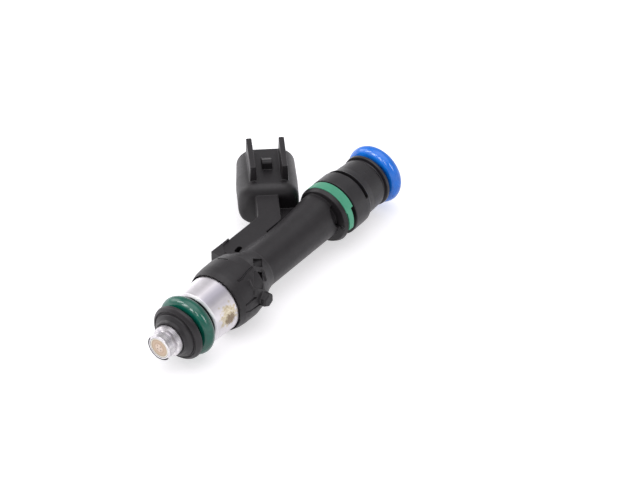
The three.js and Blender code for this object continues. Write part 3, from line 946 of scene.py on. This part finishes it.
def tip_material():
    """Pale gold plate with darker rings, all centred on the axis."""
    material, s = new_material("tip_plate")
    _, y, z = s.split(s.position())
    r = s.times(s.radius(y, z), 1000.0)
    v = s.coords()
    plate_radius = 2.5
    share = s.math("DIVIDE", s.wander(r, s.noise(v, scale=2.5), amount=0.12), plate_radius)
    rings = [(0.0, (0.66, 0.55, 0.46)), (0.36, (0.62, 0.50, 0.41)), (0.50, (0.46, 0.34, 0.25)),
             (0.62, (0.54, 0.42, 0.32)), (0.80, (0.48, 0.37, 0.27)), (0.86, (0.36, 0.29, 0.22)),
             (0.89, (0.74, 0.71, 0.62)), (1.0, (0.70, 0.68, 0.62))]
    s.surface({"Base Color": s.ramp(share, rings), "Metallic": 0.75})
    metal_finish(s, v, rough=(0.34, 0.48), bump=0.2, scale=6.0, detail=2.0)
    return material


body_plastic = plastic("body_plastic", (0.0098, 0.0082, 0.0096), (0.0155, 0.0134, 0.0150),
                       rough=0.44, grain=0.22)
adapter_plastic = plastic("adapter_plastic", (0.013, 0.012, 0.0135), (0.019, 0.0175, 0.019),
                          rough=0.42, grain=0.2)
collar_plastic = plastic("collar_plastic", (0.012, 0.010, 0.012), (0.018, 0.016, 0.018),
                         rough=0.40, grain=0.18)
support_plastic = plastic("support_plastic", (0.016, 0.014, 0.017), (0.026, 0.023, 0.028),
                          rough=0.40, grain=0.15)
green_rubber = plastic("green_rubber", (0.0, 0.050, 0.034), (0.001, 0.076, 0.052),
                       rough=0.20, grain=0.16, specular=0.6, patches=0.6, grain_scale=4.0)
blue_rubber = plastic("blue_rubber", (0.002, 0.094, 0.42), (0.004, 0.128, 0.53),
                      rough=0.17, grain=0.08, specular=0.6, patches=0.5, grain_scale=3.0)
seal_rubber = plastic("seal_rubber", (0.030, 0.016, 0.012), (0.050, 0.026, 0.020),
                      rough=0.5, grain=0.3, specular=0.4)
mint_plastic = plastic("mint_plastic", (0.055, 0.315, 0.185), (0.078, 0.375, 0.225),
                       rough=0.46, grain=0.2, specular=0.45, patches=0.5, grain_scale=6.0)
bobbin_plastic = plastic("bobbin_plastic", (0.018, 0.030, 0.020), (0.030, 0.048, 0.032),
                         rough=0.55, grain=0.3)
filter_plastic = plastic("filter_plastic", (0.52, 0.48, 0.38), (0.64, 0.59, 0.48),
                         rough=0.5, grain=0.2)
# with painted shade on one side of the tip's rim
polished_steel = metal("polished_steel", (0.54, 0.52, 0.56), (0.78, 0.76, 0.76),
                       rough=0.26, marks=0.25, rim_shade=True)
satin_steel = metal("satin_steel", (0.42, 0.42, 0.44), (0.58, 0.58, 0.60), rough=0.34, marks=0.35)
ball_steel = metal("ball_steel", (0.66, 0.66, 0.69), (0.80, 0.80, 0.83),
                   rough=0.09, marks=0.05, variation=0.02)
contact_metal = metal("contact_metal", (0.58, 0.54, 0.44), (0.72, 0.67, 0.55),
                      rough=0.30, marks=0.1)
brass = metal("brass_ring", (0.62, 0.42, 0.14), (0.78, 0.56, 0.22), rough=0.30, marks=0.3)
copper = metal("copper_wire", (0.58, 0.20, 0.08), (0.80, 0.34, 0.16), rough=0.32, marks=0.2)
gauze = metal("filter_gauze", (0.38, 0.37, 0.34), (0.56, 0.55, 0.50), rough=0.45, marks=0.2)
pot_steel = pot_material()
tip_plate = tip_material()

# ---------------------------------------------------------------------------
# pieces; outlines of turned ones are (x, radius, fillet)
# ---------------------------------------------------------------------------
modelled("overmould_body", body_plastic, moulding, (19.0, -11.0, -8.6), (73.2, 28.9, 9.7),
         steps=(0.30, 0.17), relax=1)

# sleeve with the tip's rim, neck groove and shoulder
turned("valve_sleeve", polished_steel, [
    (0.0, 2.5, 0.03), (0.0, 3.10, 0.09), (0.24, 3.17, 0.09), (0.44, 3.0, 0.1),
    (2.05, 3.0, 0.06), (2.16, 2.86, 0.04), (2.42, 2.86, 0.04), (2.5, 3.5, 0.05),
    (2.66, 3.65, 0.08), (12.2, 3.65), (13.0, 4.0), (33.0, 4.0, 0.1), (33.0, 3.5, 0.1),
    (13.4, 3.5), (12.6, 2.5)], segments=192, corner_steps=4)

# dished disc with a raised centre and four tapered spray holes
turned("orifice_plate", tip_plate, [
    (0.30, 0.0), (0.30, 2.44), (0.03, 2.44, 0.05), (0.03, 2.28, 0.03), (0.12, 2.10, 0.03),
    (0.09, 1.25, 0.04), (0.01, 1.08, 0.04), (0.01, 0.0)], segments=128,
    cutters=ring_of_bars("hole", (-0.4, 0.15), (0.7, 0.12), segments=20, count=4,
                         pitch_radius=0.62, first_angle=math.pi / 4))

turned("valve_seat", satin_steel, [
    (0.42, 1.0, 0.06), (0.42, 2.44, 0.08), (4.6, 2.44, 0.12), (4.6, 1.75, 0.12),
    (2.6, 1.75, 0.15), (1.2, 0.45, 0.05), (0.8, 0.45, 0.04), (0.7, 1.0, 0.05)])
turned("guide_ring", satin_steel, [
    (4.7, 1.27, 0.08), (4.7, 2.44, 0.08), (5.7, 2.44, 0.08), (5.7, 1.27, 0.08)],
    cutters=ring_of_bars("pass", (4.2, 0.3), (6.2, 0.3), segments=24, count=3,
                         pitch_radius=1.86, first_angle=math.pi / 6))

# ball, needle tube with a cross hole, and armature
BALL_X, BALL_RADIUS, BALL_STEPS = 2.963, 1.5, 40
turned("valve_ball", ball_steel, [
    (BALL_X - BALL_RADIUS * math.cos(math.pi * k / BALL_STEPS),
     BALL_RADIUS * math.sin(math.pi * k / BALL_STEPS)) for k in range(BALL_STEPS + 1)],
    segments=80)
cross_place = Matrix.Translation((11.0 * MM, 0, 0)) @ Matrix.Rotation(math.pi / 2, 4, "Y")
turned("needle_tube", satin_steel, [
    (3.92, 1.2, 0.02), (4.36, 0.7, 0.02), (17.6, 0.7, 0.08), (17.6, 1.2, 0.12)], segments=72,
    cutters=[bar_cutter("cross", (-3.0, 0.35), (3.0, 0.35), segments=28, place=cross_place)])
turned("armature", satin_steel, [
    (14.0, 1.26, 0.05), (14.0, 3.2, 0.1), (14.3, 3.42, 0.1), (16.1, 3.42, 0.03),
    (16.2, 3.34, 0.03), (16.6, 3.34, 0.03), (16.7, 3.42, 0.03), (18.85, 3.42, 0.06),
    (19.0, 3.25, 0.05), (19.0, 1.75, 0.08), (17.75, 1.75, 0.03), (17.65, 1.26, 0.03)])

turned("inner_pole", satin_steel, [
    (19.12, 1.78, 0.08), (19.12, 3.3, 0.06), (19.32, 3.43, 0.08), (31.6, 3.43, 0.1),
    (32.0, 3.2, 0.1), (32.0, 1.78, 0.15)])
# split along its -Y side
turned("adjusting_sleeve", satin_steel, [
    (26.75, 0.9, 0.1), (26.75, 1.7, 0.12), (31.2, 1.7, 0.12), (31.2, 0.9, 0.1)], segments=64,
    cutters=[box_cutter("slit", size=(8, 3, 0.4), centre=(29, -1.5, 0))])


def round_bar(name, path, radius, segments=14):
    """A round bar swept along a list of points, closed at both ends."""
    path = [Vector(p) for p in path]
    last = len(path) - 1
    verts, faces = [], []
    side = None
    for i, p in enumerate(path):
        ahead = (path[min(i + 1, last)] - path[max(i - 1, 0)]).normalized()
        if side is None:
            side = ahead.orthogonal().normalized()
        side = (side - ahead * side.dot(ahead)).normalized()
        other = ahead.cross(side)
        for k in range(segments):
            t = 2 * math.pi * k / segments
            verts.append(tuple(p + side * (radius * math.cos(t)) + other * (radius * math.sin(t))))
    for row in range(0, last * segments, segments):
        for k in range(segments):
            k2 = (k + 1) % segments
            faces.append((row + k, row + k2, row + segments + k2, row + segments + k))
    faces.append(tuple(range(segments))[::-1])
    faces.append(tuple(last * segments + k for k in range(segments)))
    return mesh_object(name, verts, faces)


def closing_spring():
    """Dead coils at both ends, open coils between."""
    end, length = 26.38, 8.32
    start = end - length
    coil_radius, wire = 1.3, 0.24
    turns, dead_turns, dead_pitch, steps = 7.0, 1.0, 0.10, 560
    path = []
    for i in range(steps + 1):
        turn = i / steps * turns
        if turn < dead_turns:
            x = start + wire + dead_pitch * turn
        elif turn > turns - dead_turns:
            x = end - wire - dead_pitch * (turns - turn)
        else:
            share = (turn - dead_turns) / (turns - 2 * dead_turns)
            x = start + wire + dead_pitch + (length - 2 * wire - 2 * dead_pitch) * share
        angle = 2 * math.pi * turn
        path.append((x, coil_radius * math.cos(angle), coil_radius * math.sin(angle)))
    ob = finish(round_bar("fine_closing_spring", path, wire), "closing_spring", satin_steel)
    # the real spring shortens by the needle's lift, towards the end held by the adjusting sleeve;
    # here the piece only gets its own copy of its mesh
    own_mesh(ob)


closing_spring()

# pot: chamfered shoulder, waist, then the part the moulding grips
turned("magnet_pot", pot_steel, [
    (11.7, 3.72, 0.05), (11.7, 5.45, 0.12), (12.5, 6.58, 0.14), (13.4, 6.6, 0.5),
    (19.0, 6.78, 1.0), (28.2, 6.78, 0.15), (28.2, 6.1, 0.1), (17.6, 6.1, 0.2),
    (17.6, 4.07, 0.2), (12.9, 4.07, 0.1), (12.1, 3.72, 0.1)], segments=224, corner_steps=5)
turned("coil_bobbin", bobbin_plastic, [
    (17.9, 4.1, 0.08), (17.9, 6.0, 0.12), (18.7, 6.0, 0.12), (18.7, 4.7, 0.1),
    (25.9, 4.7, 0.1), (25.9, 6.0, 0.12), (26.7, 6.0, 0.12), (26.7, 4.1, 0.08)])


def winding_outline():
    """Rows of wire show as ribs on the outside."""
    start, length, rows = 18.8, 7.0, 28
    inner, outer, rise = 4.78, 5.72, 0.13
    outline = [(start, inner)]
    for row in range(rows):
        for j in range(6):
            t = math.pi * j / 5
            x = start + length * (row + 0.5 - 0.5 * math.cos(t) * 0.98) / rows
            outline.append((x, outer + rise * math.sin(t)))
    return outline + [(25.8, inner)]


turned("coil_winding", copper, winding_outline(), weighted=False)
# washer with a slot on its +Y side
turned("flux_washer", satin_steel, [
    (26.85, 4.1, 0.1), (26.85, 6.03, 0.1), (28.1, 6.03, 0.1), (28.1, 4.1, 0.1)],
    cutters=[box_cutter("slot", size=(2, 5, 2.6), centre=(27.5, 5.5, 0))])


def contact_blade(node):
    """Bent flat strip with a coined, tapered end."""
    start_x, end_a, taper_length = 31.22, 11.45, 1.4
    half_width, half_thickness = 0.52, 0.32
    path = contact_path(node, 31.2, 12.5)
    middle = PLUG_MID + CONTACTS[node][-1]

    def field(x, y, z):
        a, b = plug_axes(x, y)
        strip = polyline_sd(x, y, path) - half_width
        taper = np.clip((a - (end_a - taper_length)) / taper_length, 0, 1)
        strip = np.maximum(strip, np.maximum(a - end_a, start_x - x))
        pin = np.abs(b - middle) - (half_width - 0.2 * taper)
        strip = np.maximum(strip, np.where(a > 7.0, pin, -9.0))
        return round_and(strip, np.abs(z) - (half_thickness - 0.13 * taper), edge=0.07)

    xs, ys = zip(*path)
    modelled(node, contact_metal, field, (min(xs) - 1, min(ys) - 1, -0.55),
             (max(xs) + 1, max(ys) + 1, 0.55), steps=(0.18, 0.11))


for contact in CONTACTS:
    contact_blade(contact)


def ring_section(x, ring_radius, radius, count, proud=()):
    """Round section; the points listed in proud stand out as a hair-thin parting line."""
    section = []
    for k in range(count):
        t = 2 * math.pi * k / count
        reach = radius + (0.018 if k in proud else 0.0)
        section.append((x + reach * math.cos(t), ring_radius + reach * math.sin(t)))
    return section


def o_ring(node, x, material):
    section = ring_section(x, ring_radius=5.535, radius=1.765, count=56, proud=(14, 42))
    return turned(node, material, section, segments=200, weighted=False)


O_RINGS = [o_ring("lower_o_ring", 9.79, green_rubber), o_ring("upper_o_ring", 78.94, blue_rubber)]

turned("lower_collar", collar_plastic, [
    (3.95, 3.75, 0.05), (3.95, 4.12, 0.15), (4.6, 4.42, 0.4), (5.15, 5.32, 0.35),
    (5.8, 5.42, 0.15), (5.8, 5.68, 0.12), (5.5, 5.95, 0.3), (6.2, 6.61, 0.4),
    (6.9, 6.74, 0.28), (7.15, 6.3, 0.15), (7.2, 5.2, 0.1), (7.6, 5.15, 0.05),
    (7.6, 3.75, 0.05)], segments=200, corner_steps=6)


def band_field(x, y, z):
    """Colour band: stepped on its inlet edge, open underneath."""
    outer, inner = 7.0, 5.75
    r, phi = around_axis(y, z)
    phi = phi % 360
    edge = np.where((phi > 150) & (phi < 262), 61.6, 62.38)
    f = round_and(r - 7.03, np.maximum(x - edge, 59.75 - x), edge=0.14)
    f = np.maximum(f, inner - r)
    split = np.maximum(np.abs(y) - 1.2, z + 3.0)
    f = smax(f, -split, blend=0.12)
    # opening 35 degrees to either side of 229
    turn = np.abs(angle_from(phi, 229.0))
    f = smax(f, (35.0 - turn) * DEGREE * outer, blend=0.12)
    # a stretch of the flange-side edge stands a little clear of the flange
    clear = np.maximum((np.abs(phi - 200.0) - 46.0) * DEGREE * outer, x - 59.98)
    return smax(f, -np.maximum(clear, 6.4 - r), blend=0.08)


modelled("color_band", mint_plastic, band_field, (59.4, -7.4, -7.4), (62.9, 7.4, 7.4),
         steps=(0.2, 0.11))

turned("fuel_tube", satin_steel, [
    (33.4, 2.7, 0.1), (33.4, 3.6, 0.1), (67.4, 3.6, 0.15), (67.4, 2.7, 0.15)])

ADAPTER = fillet([
    (62.72, 3.66), (62.72, 6.98, 0.12), (62.92, 7.08, 0.1), (66.9, 7.05, 0.2),
    (67.96, 6.98, 0.12), (68.45, 6.62, 0.25), (70.2, 6.32, 0.8), (74.35, 6.12, 0.12),
    (74.46, 5.6, 0.06), (74.85, 5.55, 0.05), (74.85, 3.7), (80.75, 3.7), (80.75, 5.2, 0.1),
    (81.15, 5.2, 0.12), (81.35, 4.95, 0.1), (81.35, 3.0, 0.25), (67.6, 3.0), (67.6, 3.66),
    (65.5, 3.66), (65.5, 5.0), (63.4, 5.0), (63.4, 3.66)], 3)
ADAPTER_TAB = (polar(72.2, 6.22, 112), polar(72.9, 6.22, 114), 0.16)


def adapter_field(x, y, z):
    r, phi = around_axis(y, z)
    f = poly_sd(x, r, ADAPTER)
    # part-round slot that ends short of the lower side
    across = np.abs(x - 67.5) - 0.52
    along = (np.abs(angle_from(phi, 64)) - 91.0) * DEGREE * 6.9
    slot = np.maximum(round_and(across, along, edge=0.2), 5.95 - r)
    f = smax(f, -slot, blend=0.10)
    return build_up(f, (x, y, z), [ADAPTER_TAB], blend=0.1)


modelled("inlet_adapter", adapter_plastic, adapter_field, (62.3, -7.5, -7.5), (82.6, 7.5, 7.5),
         steps=(0.26, 0.15), relax=1)

turned("adapter_seal", seal_rubber,
       ring_section(64.45, ring_radius=4.33, radius=0.6, count=28), weighted=False)
turned("upper_support_ring", support_plastic, [
    (74.95, 3.9, 0.05), (74.95, 5.5, 0.1), (75.32, 5.6, 0.06), (75.36, 6.42, 0.12),
    (75.98, 6.5, 0.1), (76.1, 6.35, 0.08), (76.1, 3.9, 0.05)], segments=192)


def frame_field(x, y, z):
    """Filter frame: end disc, collar ring and three bars between them."""
    r = np.sqrt(y * y + z * z)
    disc = round_and(r - 1.9, np.abs(x - 70.85) - 0.35, edge=0.15)
    ring = round_and(np.maximum(r - 2.26, 1.72 - r), np.abs(x - 79.55) - 1.35, edge=0.12)
    f = np.minimum(disc, ring)
    for k in range(3):
        angle = 0.3 + k * 2 * math.pi / 3
        c, s = math.cos(angle), math.sin(angle)
        outward, sideways = y * c + z * s, -y * s + z * c
        bar = box_sd(x - 74.9, outward - 1.95, sideways, half=(3.9, 0.19, 0.25), edge=0.08)
        f = smin(f, bar, blend=0.1)
    return f


modelled("filter_frame", filter_plastic, frame_field, (70.2, -2.6, -2.6), (81.2, 2.6, 2.6),
         steps=(0.16, 0.1))

MESH_START, MESH_PITCH, MESH_ROWS = 71.26, 0.14, 50


def woven(x, r, angle):
    """Every other row waves the other way."""
    odd = int(round((x - MESH_START) / MESH_PITCH)) % 2
    return r + 0.03 * math.sin(angle * 36) * (1 if odd else -1)


mesh_rows = [MESH_START + MESH_PITCH * k for k in range(MESH_ROWS)]
turned("filter_mesh", gauze,
       [(x, 1.60) for x in mesh_rows] + [(x, 1.47) for x in reversed(mesh_rows)],
       segments=144, weighted=False, wobble=woven)
turned("filter_collar", brass, [
    (78.4, 2.36, 0.08), (78.4, 2.93, 0.12), (81.0, 2.93, 0.2), (81.0, 2.36, 0.2)],
    corner_steps=4)

# ---------------------------------------------------------------------------
# floor, light and camera, in metres
# ---------------------------------------------------------------------------
FLOOR_Z = -7.85 * MM
# camera axes: right, up and forward; and the point the lights aim at
RIGHT = Vector((0.6085, -0.7936, 0.0))
UP = Vector((0.4959, 0.3804, 0.7804))
FORWARD = Vector((0.6196, 0.4749, -0.6252))
CENTRE = Vector((0.041, 0.004, 0.0))


def floor_material():
    """Pale paper with a painted glow that is weaker near the product, a painted shade round it; the
    glow is painted dimmer in reflections on its -Y side.
    """
    material, s = new_material("floor_paper")
    tone = s.noise(s.coords((20, 20, 20)), scale=1.0, detail=2.0)
    position = s.position()
    away = s.vector("DISTANCE", position, (0.041, 0.006, FLOOR_Z))
    # painted light: the floor glows, less near the product
    glow = s.remap(away, source=(0.040, 0.09), to=(0.55, 0.95))
    reflected = s.add("LightPath").outputs["Is Glossy Ray"]
    far_side = s.remap(s.split(position)[1], source=(-0.006, -0.016), to=(0.0, 1.0))
    # painted darker reflection: glossy rays see less glow on the -Y side
    reflection_dimming = s.times(s.times(reflected, far_side), 0.40)
    s.surface({
        "Base Color": s.ramp(tone, [(0.3, (0.70, 0.70, 0.71)), (0.7, (0.72, 0.72, 0.725))]),
        "Roughness": 0.9,
        "Specular IOR Level": 0.1,
        "Emission Color": (1.0, 0.99, 1.0, 1),
        "Emission Strength": s.math("SUBTRACT", glow, reflection_dimming)})
    return material


def studio_floor():
    cells, size = 24, 3.2
    bm = bmesh.new()
    steps = [size * (i / cells - 0.5) for i in range(cells + 1)]
    grid = [[bm.verts.new((0.04 + x, 0.02 + y, FLOOR_Z)) for y in steps] for x in steps]
    for i in range(cells):
        for j in range(cells):
            bm.faces.new((grid[i][j], grid[i + 1][j], grid[i + 1][j + 1], grid[i][j + 1]))
    mesh = bpy.data.meshes.new("studio_floor")
    bm.to_mesh(mesh)
    bm.free()
    floor = link_object("studio_floor", mesh)
    mesh.materials.append(floor_material())


# brightness of the surroundings: (z of the direction looked in, strength)
TENT = [(-1.0, 0.9), (0.0, 0.95), (0.2, 0.85), (0.42, 0.62), (0.62, 0.42), (0.78, 0.62),
        (0.9, 1.8), (1.0, 2.2)]
TENT_SCALE = 2.4   # keeps the ramp's values under 1


def studio_world():
    """Pale tent: white low down, greyer half way up, a broad soft source overhead."""
    world = bpy.data.worlds.new("studio")
    bpy.context.scene.world = world
    s = Shader(world, output="OutputWorld", shading="Background")
    view = s.position("Generated")

    def lobe(direction, source, to, interpolation):
        along = s.vector("DOT_PRODUCT", view, tuple(direction.normalized()))
        return s.remap(along, source, to, interpolation_type=interpolation)

    height = lobe(Vector((0, 0, 1)), source=(-1.0, 1.0), to=(0.0, 1.0), interpolation="LINEAR")
    tent = s.ramp(height, [((z + 1) / 2, (v / TENT_SCALE,) * 3) for z, v in TENT])
    behind_camera = lobe(-FORWARD, source=(0.6, 0.98), to=(1.0, 0.75), interpolation="SMOOTHSTEP")
    s.surface({"Strength": s.times(s.times(tent, behind_camera), TENT_SCALE),
               "Color": (0.985, 0.968, 1.0, 1)})


def area_light(name, place, power, size, height=None):
    """Area light aimed at the centre; square unless a height is given."""
    light = bpy.data.lights.new(name, "AREA")
    light.energy = power
    light.shape = "RECTANGLE" if height else "SQUARE"
    light.size = size
    if height:
        light.size_y = height
    ob = link_object(name, light)
    ob.location = place
    ob.rotation_euler = (CENTRE - Vector(place)).to_track_quat("-Z", "Y").to_euler()
    return ob


# lights that only the two rubber rings receive: azimuth, elevation, width, height, power
WINDOWS = [(120, 40, 0.16, 0.34, 1.5), (150, 42, 0.16, 0.34, 1.9), (179, 42, 0.14, 0.30, 1.5),
           (-150, 44, 0.10, 0.28, 0.8), (-91, 36, 0.16, 0.34, 1.5)]
WINDOW_DISTANCE = 0.8


def studio_lights():
    # soft source from the camera's upper left
    area_light("key", CENTRE + RIGHT * -0.55 + UP * 0.45 + FORWARD * 0.05, power=1.2, size=0.4)
    shiny = bpy.data.collections.new("shiny_pieces")
    for ring in O_RINGS:
        shiny.objects.link(ring)
    for k, (azimuth, elevation, width, height, power) in enumerate(WINDOWS):
        a, e = math.radians(azimuth), math.radians(elevation)
        toward = Vector((math.cos(e) * math.cos(a), math.cos(e) * math.sin(a), math.sin(e)))
        window = area_light("window%d" % k, CENTRE + toward * WINDOW_DISTANCE, power, width, height)
        window.light_linking.receiver_collection = shiny


def photo_camera():
    data = bpy.data.cameras.new("photo_camera")
    camera = link_object("photo_camera", data)
    data.sensor_width = 36.0
    data.sensor_fit = "HORIZONTAL"
    data.lens = 170.775
    data.shift_y = 0.001796875
    data.clip_start = 0.01
    data.clip_end = 20
    pose = Matrix((RIGHT, UP, -FORWARD)).transposed().to_4x4()
    pose.translation = Vector((-377.84, -334.03, 432.92)) * MM
    camera.matrix_world = pose
    bpy.context.scene.camera = camera


studio_floor()
studio_world()
studio_lights()
photo_camera()
bpy.context.scene.view_settings.view_transform = "Standard"
